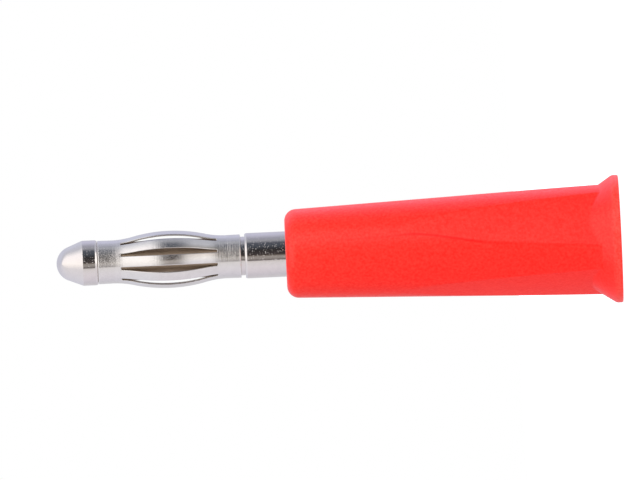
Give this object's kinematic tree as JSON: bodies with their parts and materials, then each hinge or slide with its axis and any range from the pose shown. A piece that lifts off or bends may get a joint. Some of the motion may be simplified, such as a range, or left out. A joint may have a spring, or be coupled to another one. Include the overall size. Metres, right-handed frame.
{
  "type": "banana plug",
  "caption": "Banana plug for 4 mm sockets: nickel-plated pin with a rolled spring basket, in a soft tapered sleeve with finger flats and a flared cable end.",
  "frame": {"origin": "centre of the flared cable end's face, which the plug stands on", "axes": "+Z along the plug's axis, from the flared cable end to the nose; +X along the clamp screw; +X and +Y square to the sleeve's finger flats"},
  "size_m": [0.0098, 0.0098, 0.0435],
  "materials": {
    "red_soft_plastic": "satin",
    "nickel_turned": "polished",
    "nickel_spring": "polished",
    "nickel_screw": "satin"
  },
  "bodies": {
    "sleeve": {"insulating_sleeve": "red_soft_plastic"},
    "pin": {"contact_pin": "nickel_turned"},
    "basket": {"contact_basket": "nickel_spring"},
    "screw": {"clamp_screw": "nickel_screw"}
  },
  "joints": [
    {"name": "pin_pull", "type": "slide", "parent": "sleeve", "child": "pin", "axis": [0, 0, 1], "range_m": [0, 0.02]},
    {"name": "basket_spin", "type": "hinge", "parent": "pin", "child": "basket", "pos_m": [0, 0, 0.03477], "axis": [0, 0, 1], "continuous": true},
    {"name": "screw_turn", "type": "hinge", "parent": "pin", "child": "screw", "pos_m": [0.0015, 0, 0.016], "axis": [-1, 0, 0], "range_deg": [0, 576]}
  ]
}
